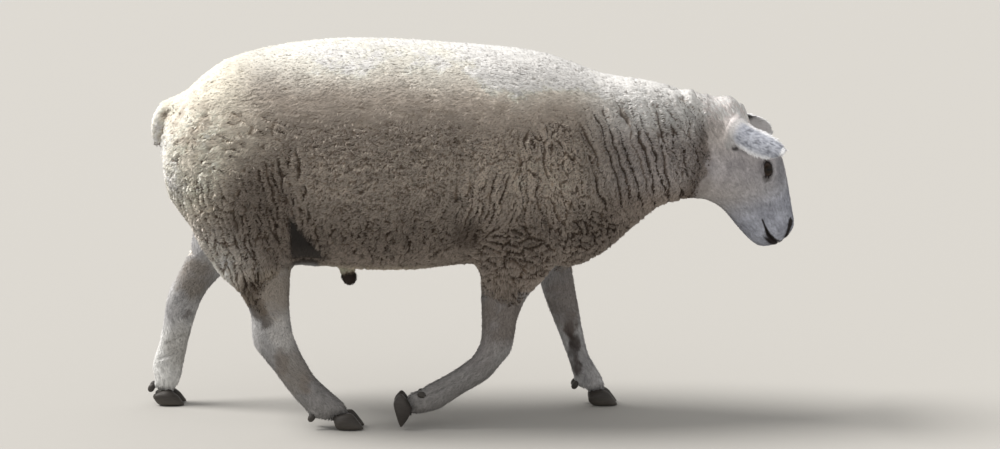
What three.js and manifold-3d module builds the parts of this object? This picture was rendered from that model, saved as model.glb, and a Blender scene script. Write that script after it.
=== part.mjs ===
// A sheep of a meat breed, life size, walking slowly with its head lowered: a short dense fleece on
// the trunk, neck and thighs, and short hair on the head and lower legs. It is a still model.
// Millimetres, +Z up, +X towards the head, +Y towards the animal's left side.
// The flesh is lofted whole, out to the tips of the coat, and then parted with thin cuts.
import * as THREE from "three";
import { mergeVertices } from "three/addons/utils/BufferGeometryUtils.js";
import Module from "manifold-3d";

const wasm = await Module();
wasm.setup();

// Driving dimensions.
const GAP = 0.35; // clear space left by every cut between two parts
const TRACK = 105; // from the middle plane to the middle of each foot
const EYE_RADIUS = 14;
const CLAW = { length: 62, halfWidth: 14.5, height: 39, lean: 23 };
const DEWCLAW_RADII = [8, 6.5, 11];
const FAR_OUT = 900; // past the animal in every direction
const SIDES = { right: -1, left: 1 };

const MATERIALS = {
  wool: new THREE.MeshStandardMaterial({ color: 0xb3a48d, roughness: 0.95, metalness: 0 }),
  hair: new THREE.MeshStandardMaterial({ color: 0xc9c5bc, roughness: 0.85, metalness: 0 }),
  horn: new THREE.MeshStandardMaterial({ color: 0x1d1a19, roughness: 0.5, metalness: 0 }),
  eye: new THREE.MeshStandardMaterial({ color: 0x2a1c10, roughness: 0.1, metalness: 0 }),
  bare: new THREE.MeshStandardMaterial({ color: 0x3a2620, roughness: 0.7, metalness: 0 }),
};

const vector = (list) => new THREE.Vector3(...list);

// ---- Closed bodies through rings ----

// A closed body through rings of equal length. Each end is closed with a fan about its middle, or,
// for a thin crescent ring whose second half runs back along the first, with a ladder across it.
function bodyOf(rings, ladder = false) {
  const sides = rings[0].length;
  const position = rings.flat().flatMap((p) => [p.x, p.y, p.z]);
  const index = [];
  for (let r = 0; r + 1 < rings.length; r++) {
    for (let i = 0; i < sides; i++) {
      const [a, b] = [r * sides + i, r * sides + ((i + 1) % sides)];
      index.push(a, b, b + sides, a, b + sides, a + sides);
    }
  }
  const close = (r, turn) => {
    const at = (i) => r * sides + (i % sides);
    const add = (a, b, c) => index.push(...(turn ? [a, b, c] : [a, c, b]));
    if (ladder) {
      for (let i = 0; i < sides / 2 - 1; i++) {
        const [a, b, c, d] = [at(i), at(i + 1), at(sides - 2 - i), at(sides - 1 - i)];
        add(a, b, c);
        add(a, c, d);
      }
      return;
    }
    const middle = new THREE.Vector3();
    rings[r].forEach((p) => middle.addScaledVector(p, 1 / sides));
    position.push(middle.x, middle.y, middle.z);
    for (let i = 0; i < sides; i++) add(position.length / 3 - 1, at(i), at(i + 1));
  };
  close(0, false);
  close(rings.length - 1, true);
  const geometry = new THREE.BufferGeometry();
  geometry.setAttribute("position", new THREE.Float32BufferAttribute(position, 3));
  geometry.setIndex(index);
  return geometry;
}

// Catmull-Rom value of a list of stations' numbers at parameter t, which is 0 to 1 over the list.
function splineOf(rows) {
  const curves = rows[0].map((_, k) =>
    new THREE.CatmullRomCurve3(
      rows.map((row) => new THREE.Vector3(row[k], 0, 0)),
      false,
      "catmullrom",
      0.5,
    ),
  );
  return (t) => curves.map((curve) => curve.getPoint(t).x);
}

// Distances along a loft at which rings stand: evenly in the middle and closer over each dome.
function ringPlaces(total, rings, dome) {
  const [start, end] = dome;
  const places = Array.from(
    { length: rings + 1 },
    (_, i) => start + ((total - start - end) * i) / rings,
  );
  for (const share of [0.006, 0.13, 0.5]) {
    if (start) places.push(start * share);
    if (end) places.push(total - end * share);
  }
  return places.sort((a, b) => a - b);
}

// A loft along stations of {at, half: [across, above, below], power, taper}. "Above" is forward
// on a leg that points down. The rings stand across the line of stations, or square to "stand".
// power 2 is an ellipse and more is squarer, taper widens the top, grow swells the whole loft, and
// dome is the length over which each end is rounded off.
function loft({ stations, sides, rings, stand, dome = [0, 0] }, grow = 0) {
  const line = new THREE.CatmullRomCurve3(stations.map((s) => vector(s.at)), false, "centripetal");
  line.arcLengthDivisions = 400;
  const total = line.getLength();
  const sizesAt = splineOf(stations.map((s) => [...s.half, s.power ?? 2.2, s.taper ?? 0]));
  const side = new THREE.Vector3(0, 1, 0);
  const bend = (v, power) => Math.sign(v) * Math.abs(v) ** (2 / power);
  const made = ringPlaces(total, rings, dome).map((place) => {
    const t = line.getUtoTmapping(place / total);
    const along = stand ?? line.getTangent(t);
    const up = new THREE.Vector3().crossVectors(along, side).normalize();
    const across = new THREE.Vector3().crossVectors(up, along).normalize();
    const [wide, above, below, power, taper] = sizesAt(t);
    const rounding = [place, total - place].reduce(
      (share, d, i) => (d < dome[i] ? share * Math.sqrt(1 - (1 - d / dome[i]) ** 2) : share),
      1,
    );
    return Array.from({ length: sides }, (_, i) => {
      const angle = (2 * Math.PI * i) / sides;
      const [c, s] = [bend(Math.cos(angle), power), bend(Math.sin(angle), power)];
      const x = (wide * rounding + grow) * c * (1 + taper * s);
      const y = ((s > 0 ? above : below) * rounding + grow) * s;
      return line.getPoint(t).addScaledVector(across, x).addScaledVector(up, y);
    });
  });
  return solid(bodyOf(made));
}

// ---- Solids: joining, cutting and placing ----

function solid(geometry) {
  const bare = geometry.clone();
  bare.deleteAttribute("normal");
  bare.deleteAttribute("uv");
  const merged = mergeVertices(bare, 1e-3);
  const triangles = new Uint32Array(merged.index.array);
  const make = () =>
    new wasm.Manifold(
      new wasm.Mesh({
        numProp: 3,
        vertProperties: merged.attributes.position.array,
        triVerts: triangles,
      }),
    );
  const made = make();
  if (made.volume() >= 0) return made;
  for (let i = 0; i < triangles.length; i += 3) {
    [triangles[i + 1], triangles[i + 2]] = [triangles[i + 2], triangles[i + 1]];
  }
  return make();
}

function geometryOf(body) {
  const mesh = body.getMesh();
  const geometry = new THREE.BufferGeometry();
  geometry.setAttribute("position", new THREE.BufferAttribute(mesh.vertProperties, 3));
  geometry.setIndex(new THREE.BufferAttribute(mesh.triVerts, 1));
  return geometry;
}

const join = (bodies) => bodies.reduce((all, body) => all.add(body));

function largest(body) {
  return body.decompose().reduce((a, b) => (b.volume() > a.volume() ? b : a));
}

function ellipsoid(centre, radii, turn, [around, high], grow = 0) {
  const geometry = new THREE.SphereGeometry(1, around, high);
  geometry.scale(...radii.map((r) => r + grow));
  geometry.rotateY(turn);
  geometry.translate(...centre);
  return solid(geometry);
}

// All space on one side of a plane that holds the line through two [x, z] points: the side on the
// right hand of someone going from the first point to the second, moved back by grow.
function spaceBeyond([x1, z1], [x2, z2], grow = 0) {
  const turn = Math.atan2(x2 - x1, z2 - z1);
  const geometry = new THREE.BoxGeometry(2 * FAR_OUT, 2 * FAR_OUT, 4 * FAR_OUT);
  geometry.translate(FAR_OUT - grow, 0, 0);
  geometry.rotateY(turn);
  geometry.translate(x1, 0, z1);
  return solid(geometry);
}

// Space on one side of the animal that a leg and its upper mass take: an oval outline seen from the
// side, and everything lower than its middle, from the inner plane outwards.
function legSpace({ hand, oval, inner, ends, low }, grow = 0) {
  const [x, z, wide, high] = oval;
  const outline = new THREE.Shape();
  outline.absellipse(x, z, wide + grow, high + grow, 0, Math.PI, false);
  outline.lineTo(x - wide - grow, low + grow);
  outline.lineTo(ends[0] - grow, low + grow);
  outline.lineTo(ends[0] - grow, -FAR_OUT);
  outline.lineTo(ends[1] + grow, -FAR_OUT);
  outline.lineTo(ends[1] + grow, low + grow);
  outline.lineTo(x + wide + grow, low + grow);
  outline.closePath();
  const depth = FAR_OUT;
  const geometry = new THREE.ExtrudeGeometry(outline, { depth, bevelEnabled: false, curveSegments: 8 });
  geometry.rotateX(Math.PI / 2); // the outline stands up, and the depth runs to -Y
  geometry.translate(0, hand < 0 ? -inner + grow : depth + inner - grow, 0);
  return solid(geometry);
}

// ---- Trunk and neck ----

// [x, top, bottom, half width, height of the widest level], from rump to throat.
const TORSO = [
  [-606, 560, 458, 72, 505],
  [-587, 612, 428, 110, 505],
  [-556, 658, 384, 144, 498],
  [-500, 706, 338, 170, 492],
  [-418, 735, 316, 182, 490],
  [-320, 751, 306, 188, 492],
  [-220, 757, 296, 198, 490],
  [-110, 752, 296, 206, 488],
  [0, 744, 310, 202, 492],
  [90, 736, 312, 188, 500],
  [160, 722, 304, 172, 505],
  [215, 700, 300, 158, 505],
  [260, 684, 328, 144, 510],
  [310, 678, 374, 130, 520],
  [360, 670, 418, 116, 534],
  [405, 656, 432, 101, 540],
  [438, 644, 433, 83, 543],
  [466, 635, 438, 62, 552],
  [492, 628, 452, 46, 560],
];
const torso = {
  sides: 26,
  rings: 20,
  stand: new THREE.Vector3(1, 0, 0),
  dome: [16, 30],
  stations: TORSO.map(([x, top, bottom, wide, level]) => ({
    at: [x, 0, level],
    half: [wide, top - level, level - bottom],
    power: 2.25,
    taper: x > 200 ? 0.02 : -0.02,
  })),
};

const tail = {
  sides: 12,
  rings: 6,
  dome: [10, 14],
  stations: [
    { at: [-540, 0, 630], half: [34, 24, 24] },
    { at: [-580, 0, 622], half: [34, 23, 23] },
    { at: [-606, 0, 594], half: [32, 21, 21] },
    { at: [-611, 0, 562], half: [29, 19, 19] },
    { at: [-606, 0, 530], half: [22, 14, 14] },
  ],
};

const sheath = {
  sides: 10,
  rings: 2,
  dome: [6, 14],
  stations: [
    { at: [-262, 0, 325], half: [20, 20, 20] },
    { at: [-250, 0, 298], half: [17, 17, 17] },
    { at: [-238, 0, 264], half: [13, 14, 14] },
  ],
};

// ---- Head ----

// The head's own axis runs from the ears to the lips, and is steep because the head is lowered.
const HEAD_ORIGIN = [488, 0, 576];
const HEAD_AXIS = new THREE.Vector3(0.485, 0, -0.8745).normalize();
const HEAD_TURN = Math.atan2(-HEAD_AXIS.z, HEAD_AXIS.x);

// A point in the head: along its axis, out to one side, and forward of the axis.
function inHead(along, out, forward) {
  return vector([along, out, forward])
    .applyAxisAngle(new THREE.Vector3(0, 1, 0), HEAD_TURN)
    .add(vector(HEAD_ORIGIN))
    .toArray();
}

// [along, forehead or nose, jaw, half width, widest level, taper], from nape to lips.
const HEAD = [
  [-50, 10, -60, 40, -10, 0],
  [-22, 63, -86, 56, 8, 0.02],
  [10, 62, -98, 61, 10, 0.05],
  [45, 65, -106, 65, 12, 0.1],
  [78, 73, -106, 66, 13, 0.14],
  [105, 74, -101, 63, 10, 0.18],
  [128, 69, -84, 56, 4, 0.14],
  [152, 62, -76, 48, -2, 0.04],
  [180, 53, -71, 42, -8, -0.04],
  [210, 43, -65, 38, -12, -0.08],
  [234, 35, -56, 36, -12, -0.06],
  [254, 24, -44, 31, -12, 0],
];
const skull = {
  sides: 20,
  rings: 13,
  stand: HEAD_AXIS,
  dome: [14, 17],
  stations: HEAD.map(([along, top, bottom, wide, level, taper]) => ({
    at: inHead(along, 0, level),
    half: [wide, top - level, level - bottom],
    power: 2.25,
    taper,
  })),
};

const eyeball = (hand, grow = 0) =>
  ellipsoid(inHead(104, hand * 56, 34), Array(3).fill(EYE_RADIUS), 0, [10, 8], grow);
const orbit = (hand, grow) =>
  ellipsoid(inHead(103, hand * 48, 33), [33, 21, 26], HEAD_TURN, [10, 6], grow);
const head = (grow = 0) =>
  join([loft(skull, grow), ...Object.values(SIDES).map((hand) => orbit(hand, grow))]);

// An ear is a thin curled blade that runs forward and outwards from behind the eye.
const EAR = {
  root: [-6, 44, 10], // along the head, out, forward
  tip: [80, 135, 78],
  droop: -5,
  back: [-0.48, 0.76, 0.42], // the way the outside of the blade faces, on the left ear
  thick: 5.5,
  // [share of length, half width, half angle of the curl]
  blade: [
    [0, 20, 1.35],
    [0.15, 25, 1.2],
    [0.35, 29, 1],
    [0.55, 30, 0.8],
    [0.75, 27, 0.65],
    [0.9, 18, 0.55],
    [0.97, 10, 0.5],
    [1, 4, 0.45],
  ],
};

function ear(hand) {
  const mirrored = (list) => vector([list[0], list[1] * hand, list[2]]);
  const root = vector(inHead(EAR.root[0], EAR.root[1] * hand, EAR.root[2]));
  const tip = vector(inHead(EAR.tip[0], EAR.tip[1] * hand, EAR.tip[2]));
  const along = tip.clone().sub(root).normalize();
  const back = mirrored(EAR.back);
  back.addScaledVector(along, -back.dot(along)).normalize();
  const across = new THREE.Vector3().crossVectors(along, back);
  const steps = 4;
  const rows = 10;
  const bladeAt = splineOf(EAR.blade);
  const rings = [];
  for (let r = 0; r <= rows; r++) {
    const [share, half, curl] = bladeAt(r / rows);
    const middle = root.clone().lerp(tip, share);
    middle.z += EAR.droop * 4 * share * (1 - share);
    const radius = half / Math.sin(Math.min(curl, Math.PI / 2));
    const face = (depth, order) =>
      order.map((i) => {
        const angle = curl * (i / steps);
        const thin = 1 - 0.55 * (i / steps) ** 2;
        const reach = radius - depth * thin;
        return middle
          .clone()
          .addScaledVector(back, reach * Math.cos(angle) - radius * Math.cos(curl))
          .addScaledVector(across, reach * Math.sin(angle));
      });
    const order = Array.from({ length: 2 * steps + 1 }, (_, i) => i - steps);
    const thick = Math.min(EAR.thick, half * 0.9);
    rings.push([...face(0, order), ...face(thick, order.slice().reverse())]);
  }
  return solid(bodyOf(rings, true));
}

// ---- Legs ----

// Stations of a leg are [x, y, z, half across, half in front, half behind].
const legLoft = (rows, hand) => ({
  sides: 12,
  rings: 11,
  dome: [30, 4],
  stations: rows.map(([x, out, z, ...half]) => ({ at: [x, hand * out, z], half, power: 2.15 })),
});

const LEGS = {
  hind_right: {
    hand: SIDES.right,
    rows: [
      [-425, 92, 575, 66, 80, 90],
      [-430, 102, 500, 88, 118, 122],
      [-438, 108, 420, 86, 112, 116],
      [-430, 108, 360, 68, 90, 92],
      [-413, 108, 318, 54, 72, 72],
      [-399, 107, 284, 44, 54, 56],
      [-390, 106, 250, 34, 42, 44],
      [-389, 105, 216, 29, 38, 41],
      [-386, 105, 184, 29, 40, 47],
      [-370, 105, 150, 26, 37, 37],
      [-341, 105, 103, 23, 31, 32],
      [-314, 105, 66, 25, 32, 34],
      [-290, 105, 44, 28, 34, 33],
      [-262, 105, 34, 27, 24, 24],
      [-240, 105, 24, 27, 14, 16],
    ],
    space: { oval: [-438, 452, 122, 118], inner: 30, ends: [-FAR_OUT, -185], low: 284 },
    split: [[-500, 178], [-300, 200]],
    foot: { at: [-235, 0], pitch: 0 },
    dewclaw: [-312, 24],
  },
  hind_left: {
    hand: SIDES.left,
    rows: [
      [-450, 92, 575, 66, 80, 84],
      [-462, 102, 500, 88, 112, 114],
      [-478, 108, 420, 84, 100, 100],
      [-496, 108, 362, 62, 70, 74],
      [-522, 108, 312, 46, 50, 52],
      [-549, 107, 274, 36, 39, 40],
      [-572, 106, 242, 31, 36, 38],
      [-584, 105, 212, 28, 35, 38],
      [-592, 105, 180, 25, 32, 34],
      [-604, 105, 130, 23, 31, 31],
      [-617, 105, 84, 25, 33, 33],
      [-624, 105, 54, 28, 36, 35],
      [-623, 105, 34, 27, 33, 31],
      [-617, 105, 20, 27, 24, 22],
    ],
    space: { oval: [-478, 452, 116, 116], inner: 30, ends: [-FAR_OUT, -185], low: 284 },
    split: [[-640, 236], [-520, 212]],
    foot: { at: [-608, 0], pitch: 0 },
    dewclaw: [-650, 36],
  },
  fore_right: {
    hand: SIDES.right,
    rows: [
      [150, 96, 560, 50, 70, 70],
      [130, 104, 500, 62, 88, 84],
      [106, 110, 420, 72, 98, 92],
      [82, 112, 345, 66, 90, 86],
      [68, 110, 300, 54, 66, 66],
      [56, 107, 258, 40, 42, 43],
      [52, 106, 206, 32, 34, 36],
      [48, 105, 168, 31, 34, 33],
      [34, 105, 136, 29, 34, 30],
      [-6, 104, 106, 23, 27, 26],
      [-50, 104, 78, 24, 28, 27],
      [-86, 104, 56, 28, 30, 30],
      [-106, 104, 50, 27, 31, 28],
      [-123, 104, 48, 26, 31, 25],
      [-134, 104, 46, 26, 22, 20],
    ],
    space: { oval: [92, 362, 102, 92], inner: 44, ends: [-185, FAR_OUT], low: 284 },
    split: [[0, 168], [100, 152]],
    foot: { at: [-148, 27.5], pitch: 1.3 },
    dewclaw: [-98, 69],
  },
  fore_left: {
    hand: SIDES.left,
    rows: [
      [200, 92, 520, 48, 60, 60],
      [190, 102, 460, 58, 70, 74],
      [176, 108, 395, 58, 62, 70],
      [164, 108, 325, 46, 44, 54],
      [166, 107, 268, 37, 36, 40],
      [177, 106, 216, 31, 33, 34],
      [190, 105, 172, 28, 28, 29],
      [203, 105, 124, 24, 24, 24],
      [214, 105, 88, 22, 23, 23],
      [224, 105, 62, 25, 27, 26],
      [235, 105, 46, 27, 34, 29],
      [250, 105, 33, 27, 27, 25],
      [262, 105, 22, 27, 16, 17],
    ],
    space: { oval: [184, 355, 88, 82], inner: 44, ends: [-185, FAR_OUT], low: 284 },
    split: [[100, 150], [300, 170]],
    foot: { at: [266, 0], pitch: 0 },
    dewclaw: [204, 42],
  },
};

// One claw of a cloven foot, toe to +X and sole at z 0: rings from the sole up to the coronet,
// which leans back and is lower at the heel.
function claw(foot, hand, grow = 0) {
  const levels = [0, 0.5, 1];
  const rings = levels.map((level) => {
    const half = (CLAW.length / 2) * (1 - 0.2 * level) + grow;
    const wide = CLAW.halfWidth * (0.94 + 0.1 * Math.sin(Math.PI * level)) + grow;
    const high = CLAW.height * level + (level ? grow : -grow);
    return Array.from({ length: 12 }, (_, i) => {
      const angle = (2 * Math.PI * i) / 12;
      const [c, s] = [Math.cos(angle), Math.sin(angle)];
      const point = 1 - 0.42 * Math.max(0, c) ** 2; // the toe narrows to a blunt point
      return new THREE.Vector3(
        half * c - CLAW.lean * level,
        wide * Math.sign(s) * Math.abs(s) ** 0.8 * point,
        high * (0.82 + 0.18 * c),
      );
    });
  });
  const geometry = bodyOf(rings);
  const place = new THREE.Matrix4()
    .makeTranslation(foot.at[0], foot.y + hand * (CLAW.halfWidth + 1.9), foot.at[1])
    .multiply(new THREE.Matrix4().makeRotationY(foot.pitch))
    .multiply(new THREE.Matrix4().makeRotationZ(hand * 0.04));
  geometry.applyMatrix4(place);
  return solid(geometry);
}

const aboveFloor = spaceBeyond([0, 0], [-1, 0]); // going to -X, the right hand is up

// ---- Assembly ----

const group = new THREE.Group();

function add(name, body, material) {
  const mesh = new THREE.Mesh(geometryOf(largest(body)), MATERIALS[material]);
  mesh.name = name;
  group.add(mesh);
}

const torsoLoft = loft(torso);
let flesh = join([torsoLoft, ...Object.values(LEGS).map((leg) => loft(legLoft(leg.rows, leg.hand)))]);
flesh = flesh.add(head());

for (const [name, leg] of Object.entries(LEGS)) {
  const foot = { ...leg.foot, y: leg.hand * TRACK };
  let limb = flesh.intersect(legSpace({ ...leg.space, hand: leg.hand })).intersect(aboveFloor);
  flesh = flesh.subtract(legSpace({ ...leg.space, hand: leg.hand }, GAP));
  for (const [part, hand] of [["inner", -leg.hand], ["outer", leg.hand]]) {
    const dewclaw = (grow) =>
      ellipsoid(
        [leg.dewclaw[0], foot.y + hand * 15, leg.dewclaw[1]],
        DEWCLAW_RADII,
        0.5 + foot.pitch,
        [8, 5],
        grow,
      );
    add(`${name}_claw_${part}`, claw(foot, hand).intersect(aboveFloor), "horn");
    add(`${name}_dewclaw_${part}`, dewclaw(0), "horn");
    limb = limb.subtract(claw(foot, hand, GAP)).subtract(dewclaw(GAP));
  }
  const [a, b] = leg.split;
  const upper = limb.intersect(spaceBeyond(b, a));
  const lower = limb.subtract(spaceBeyond(b, a, GAP));
  add(`${name}_upper`, upper, "wool");
  add(`${name}_lower`, lower, "hair");
}

const FACE_LINE = [[412, 430], [458, 645]]; // where the fleece ends and the bare head begins
const NECK_LINE = [[305, 300], [222, 705]]; // across the base of the neck
let headBody = flesh.intersect(spaceBeyond(...FACE_LINE));
let rest = flesh.subtract(spaceBeyond(...FACE_LINE, GAP));
for (const [name, hand] of Object.entries(SIDES)) {
  headBody = headBody.subtract(eyeball(hand, GAP));
  add(`eye_${name}`, eyeball(hand), "eye");
  const blade = ear(hand).subtract(head(GAP)).subtract(loft(torso, GAP));
  add(`ear_${name}`, blade, "hair");
}
add("head", headBody, "hair");
add("neck", rest.intersect(spaceBeyond(...NECK_LINE)), "wool");
rest = rest.subtract(spaceBeyond(...NECK_LINE, GAP));
add("trunk", rest, "wool");
add("tail", loft(tail).subtract(loft(torso, GAP)), "wool");
add("sheath", loft(sheath).subtract(loft(torso, GAP)), "bare");

// The origin is in the middle of the animal's length and width, on the floor.
const box = new THREE.Box3().setFromObject(group);
const middle = box.getCenter(new THREE.Vector3());
group.position.set(-middle.x, -middle.y, -box.min.z);

export default group;
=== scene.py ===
import itertools
import math

import bmesh
import bpy
import mathutils.bvhtree
import mathutils.kdtree
import numpy as np
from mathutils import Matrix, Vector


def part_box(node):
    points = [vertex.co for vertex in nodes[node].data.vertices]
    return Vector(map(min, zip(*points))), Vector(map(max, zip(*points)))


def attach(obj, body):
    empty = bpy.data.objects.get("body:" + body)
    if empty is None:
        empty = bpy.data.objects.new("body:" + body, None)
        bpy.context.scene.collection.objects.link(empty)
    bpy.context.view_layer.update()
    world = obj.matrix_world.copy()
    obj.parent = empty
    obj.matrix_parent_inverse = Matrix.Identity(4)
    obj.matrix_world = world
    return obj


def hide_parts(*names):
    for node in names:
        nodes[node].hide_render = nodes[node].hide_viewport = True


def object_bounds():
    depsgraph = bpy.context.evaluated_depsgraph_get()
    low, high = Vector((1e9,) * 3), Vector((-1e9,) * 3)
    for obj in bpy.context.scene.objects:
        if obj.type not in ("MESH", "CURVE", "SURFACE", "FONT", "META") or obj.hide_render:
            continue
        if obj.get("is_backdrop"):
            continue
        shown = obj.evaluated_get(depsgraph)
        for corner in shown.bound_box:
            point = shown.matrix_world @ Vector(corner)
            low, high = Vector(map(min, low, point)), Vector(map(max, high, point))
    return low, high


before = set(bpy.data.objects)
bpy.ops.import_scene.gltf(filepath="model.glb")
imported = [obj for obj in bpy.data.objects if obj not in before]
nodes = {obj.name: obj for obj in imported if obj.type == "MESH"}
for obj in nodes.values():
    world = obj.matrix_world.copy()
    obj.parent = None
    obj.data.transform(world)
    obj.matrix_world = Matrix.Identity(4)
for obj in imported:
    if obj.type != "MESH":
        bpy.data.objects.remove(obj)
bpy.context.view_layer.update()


# ---- Camera ----
# It stands square to the animal's right side, five metres off and a little above it.
AIM = np.array([0.066, 0.0, 0.384])
RISE = math.radians(9)
STAND_OFF = 5


def placed(name, data):
    """A new object in the scene, at the origin."""
    made = bpy.data.objects.new(name, data)
    bpy.context.collection.objects.link(made)
    return made


camera = placed("camera", bpy.data.cameras.new("camera"))
camera.data.lens = 91.8
camera.data.sensor_width = 36
camera.location = AIM + STAND_OFF * np.array([0, -math.cos(RISE), math.sin(RISE)])
camera.rotation_euler = (math.pi / 2 - RISE, 0, 0)
bpy.context.scene.camera = camera


# ---- Hide ----
# One hide covers the whole animal, from the lips to the coronets of the feet. It follows the
# solids, which go out to the tips of the coat, and lies inside them by the depth of the coat.
LEGS = ["hind_left", "hind_right", "fore_left", "fore_right"]
BODY = ["trunk", "neck", "head", "tail", *(f"{leg}_{part}" for leg in LEGS for part in ("upper", "lower"))]
EARS = ["ear_left", "ear_right"]
EYES = ["eye_left", "eye_right"]
WOOL_DEPTH = 0.0085
HAIR_DEPTH = 0.0018
EAR_DEPTH = 0.0014
ROUGH_VOXEL = 0.006
FINE_VOXEL = 0.0033
HIND_HALF = -0.14  # the hind legs stand behind this x, and the fore legs ahead of it
FOOT_Y = 0.105  # each leg's own middle line, out from the animal's
FACE_X = 0.46  # the face lies ahead of this x
EAR_X = 0.47
JOIN_SWELL = 0.0005  # neighbouring solids are swollen by this before they are welded
EAR_SWELL = 0.0010


def ramp(x, low, high):
    """A smooth step, from 0 at low to 1 at high."""
    t = np.clip((x - low) / (high - low), 0, 1)
    return t * t * (3 - 2 * t)


def unit(v):
    """The same directions with a length of 1."""
    return v / np.maximum(np.linalg.norm(v, axis=-1, keepdims=True), 1e-12)


def shuffled(cell, salt):
    """A random 32-bit number for each whole-number cell."""
    word = np.uint64(0xFFFFFFFF)
    h = np.full(len(cell), (salt * 0x9E3779B1 + 0x7F4A7C15) & 0xFFFFFFFF, np.uint64)
    for column in cell.T:
        h = (h ^ (column.astype(np.int64).astype(np.uint64) & word)) * np.uint64(0x85EBCA6B)
        h = (h ^ (h >> np.uint64(13))) & word
    h = (h * np.uint64(0xC2B2AE35)) & word
    return h ^ (h >> np.uint64(16))


def thirds(h):
    """Three numbers from 0 to 1023 out of each random number."""
    return np.stack([(h >> np.uint64(bits)) & np.uint64(1023) for bits in (0, 10, 20)], 1)


def ripple(q, salt=0):
    """Smooth random waves, about -1 to 1, with one wave or so per unit of q."""
    cell = np.floor(q)
    at = q - cell
    ease = at * at * at * (at * (at * 6 - 15) + 10)
    total = np.zeros(len(q))
    for corner in itertools.product((0, 1), repeat=3):
        push = thirds(shuffled(cell + corner, salt)) / 511.5 - 1.0
        total += np.prod(np.where(corner, ease, 1 - ease), axis=1) * ((at - corner) * push).sum(1)
    return total * 1.5


def shell_of(names, swell):
    """The named solids' points, swollen a little so that they join, and their triangles."""
    points, corners, count = [], [], 0
    for name in names:
        bm = bmesh.new()
        bm.from_mesh(nodes[name].data)
        bmesh.ops.remove_doubles(bm, verts=bm.verts, dist=1e-5)
        bm.normal_update()
        points.append(np.array([v.co + v.normal * swell for v in bm.verts]))
        corners.append(np.array([[v.index for v in f.verts] for f in bm.faces]) + count)
        count += len(bm.verts)
        bm.free()
    return np.concatenate(points), np.concatenate(corners)


def mesh_of(name, points, corners):
    """A smooth mesh of all triangles or all quads."""
    mesh = bpy.data.meshes.new(name)
    size = corners.shape[1]
    mesh.vertices.add(len(points))
    mesh.vertices.foreach_set("co", np.ascontiguousarray(points, np.float32).ravel())
    mesh.loops.add(corners.size)
    mesh.loops.foreach_set("vertex_index", np.ascontiguousarray(corners, np.int32).ravel())
    mesh.polygons.add(len(corners))
    mesh.polygons.foreach_set("loop_start", np.arange(0, corners.size, size, dtype=np.int32))
    mesh.polygons.foreach_set("use_smooth", np.ones(len(corners), bool))
    mesh.update(calc_edges=True)
    return mesh


def remeshed(mesh, voxel):
    """The mesh made anew of even quads, in place of the old one."""
    holder = placed("holder", mesh)
    modifier = holder.modifiers.new("remesh", "REMESH")
    modifier.mode = "VOXEL"
    modifier.voxel_size = voxel
    made = bpy.data.meshes.new_from_object(holder.evaluated_get(bpy.context.evaluated_depsgraph_get()))
    bpy.data.objects.remove(holder)
    bpy.data.meshes.remove(mesh)
    return made


def numbers(items, key, kind, width):
    """One property of all of a mesh's items, as an array."""
    found = np.empty(len(items) * width, kind)
    items.foreach_get(key, found)
    return found.reshape(-1, width) if width > 1 else found


def points_of(mesh):
    """The places of the mesh's points."""
    return numbers(mesh.vertices, "co", np.float32, 3)


def edges_of(mesh):
    """The two points of each of the mesh's edges."""
    return numbers(mesh.edges, "vertices", np.int32, 2)


def reshape(mesh, points):
    """Moves the mesh's points to new places."""
    mesh.vertices.foreach_set("co", points.astype(np.float32).ravel())
    mesh.update()


def eased(points, edges, share, times):
    """Each point moved by its share of the way to the middle of its neighbours, over and over."""
    a, b = edges.T
    n = len(points)
    count = np.bincount(edges.ravel(), minlength=n)[:, None]
    for _ in range(times):
        total = np.stack([np.bincount(a, q[b], n) + np.bincount(b, q[a], n) for q in points.T], 1)
        points = points + share * (total / count - points)
    return points


# The head's own measure: s runs down the face from the ears to the lips, t forward from that line.
HEAD_AT = np.array([0.501, 0, 0.576])
HEAD_DOWN = np.array([0.485, 0, -0.8745])
HEAD_FRONT = np.array([0.8745, 0, 0.485])


def in_head(p):
    """Each point's s and t."""
    return (p - HEAD_AT) @ HEAD_DOWN, (p - HEAD_AT) @ HEAD_FRONT


# The body's solids are welded into one rough mesh, which is eased until no joint shows: most on
# the trunk, less on the slim legs, least on the head and tail. The ears and sheath join it after.
points, corners = shell_of([*BODY, *EYES], JOIN_SWELL)
rough = remeshed(mesh_of("rough", points, corners), ROUGH_VOXEL)
points = points_of(rough).astype(float)
is_head = ramp(points[:, 0], 0.40, 0.47)
slim = ramp(points[:, 2], 0.31, 0.20)
on_tail = ramp(points[:, 0], -0.56, -0.59) * ramp(points[:, 2], 0.50, 0.53)
share = ((0.85 - 0.55 * slim) * (1 - is_head) + 0.22 * is_head) * (1 - 0.7 * on_tail)
points = eased(points, edges_of(rough), share[:, None], 26)
corners = numbers(rough.loops, "vertex_index", np.int32, 4)
bpy.data.meshes.remove(rough)

extra_points, extra_corners = shell_of([*EARS, "sheath"], EAR_SWELL)
corners = np.concatenate([corners[:, [0, 1, 2]], corners[:, [0, 2, 3]], extra_corners + len(points)])
points = np.concatenate([points, extra_points])
fine = remeshed(mesh_of("fine", points, corners), FINE_VOXEL)

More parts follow.
